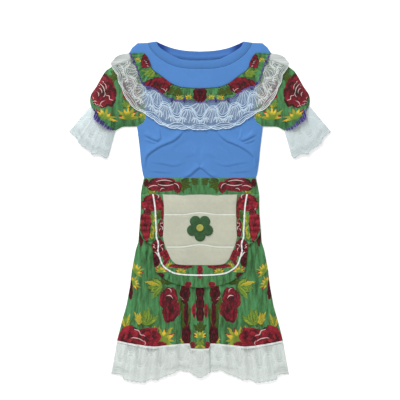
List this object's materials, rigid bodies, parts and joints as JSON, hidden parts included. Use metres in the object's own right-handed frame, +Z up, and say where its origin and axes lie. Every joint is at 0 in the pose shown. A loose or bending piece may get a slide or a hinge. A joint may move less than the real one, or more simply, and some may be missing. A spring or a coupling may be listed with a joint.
{
  "type": "festa junina dress laid flat",
  "caption": "Short-sleeved jersey and printed cotton festa junina dress, laid flat, with lace at yoke, cuffs and hem and a small half-apron with a felt flower.",
  "frame": {"origin": "centre of the bounding box, on the surface that the dress lies on", "axes": "+Y towards the neck, +X towards the sleeve at the right of a viewer who looks at the front, +Z up out of the front"},
  "size_m": [0.826, 1.0741, 0.0207],
  "materials": {
    "blue_jersey": "fine matt cotton jersey",
    "flower_print": "plain-weave cotton printed with large flowers on green",
    "white_lace": "soft knitted flower lace on a fine net",
    "beige_cotton": "plain-weave cotton",
    "white_ribbon": "narrow woven ribbon",
    "green_felt": "thick pressed felt",
    "yellow_felt": "thick pressed felt"
  },
  "bodies": {
    "root": {"bodice_back": "blue_jersey", "bodice_front": "blue_jersey", "neckband_back": "blue_jersey", "neckband_front": "blue_jersey", "sleeve_left": "flower_print", "sleeve_right": "flower_print", "cuff_lace_left": "white_lace", "cuff_lace_right": "white_lace", "yoke_ruffle": "flower_print", "yoke_lace": "white_lace", "waistband_front": "flower_print", "waistband_back": "flower_print", "skirt_front": "flower_print", "skirt_back": "flower_print", "hem_piping": "white_ribbon", "hem_lace_front": "white_lace", "hem_lace_back": "white_lace", "apron_panel": "beige_cotton", "apron_tuck_upper": "white_ribbon", "apron_tuck_lower": "white_ribbon", "apron_ruffle": "flower_print", "apron_ribbon": "white_ribbon", "applique_flower": "green_felt", "applique_centre": "yellow_felt"}
  },
  "joints": []
}
